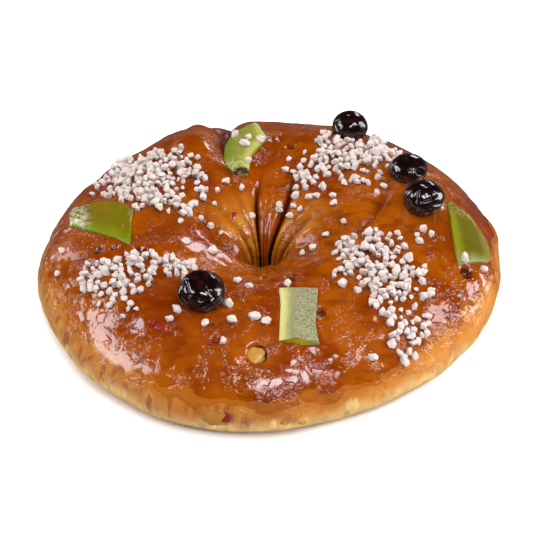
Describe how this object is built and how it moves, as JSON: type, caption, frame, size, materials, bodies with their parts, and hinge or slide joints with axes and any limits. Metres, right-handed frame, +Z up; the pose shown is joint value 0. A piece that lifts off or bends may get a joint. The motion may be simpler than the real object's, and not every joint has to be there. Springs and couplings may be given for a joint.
{
  "type": "roscon de reyes",
  "caption": "Sweet ring-shaped Epiphany bread with a glossy brown crust, topped with candied cherries, slices of green candied fruit and coarse sugar.",
  "frame": {"origin": "the middle of the flat underside, below the middle of the ring's box", "axes": "+Z up through the hole, -Y towards the front of the ring, +X to its right"},
  "size_m": [0.2224, 0.2147, 0.0589],
  "materials": {
    "baked_crust": "egg-glazed and baked, glossy brown",
    "candied_cherry": "syrup gloss, nearly black",
    "candied_green": "syrup gloss, clear deep green",
    "candied_pale_green": "satin, pale and finely pitted"
  },
  "bodies": {
    "root": {"bread": "baked_crust", "cherry_front": "candied_cherry", "cherry_back": "candied_cherry", "cherry_right": "candied_cherry", "cherry_right_low": "candied_cherry", "green_left": "candied_green", "green_back": "candied_green", "green_right": "candied_green", "green_front": "candied_pale_green"}
  },
  "joints": []
}
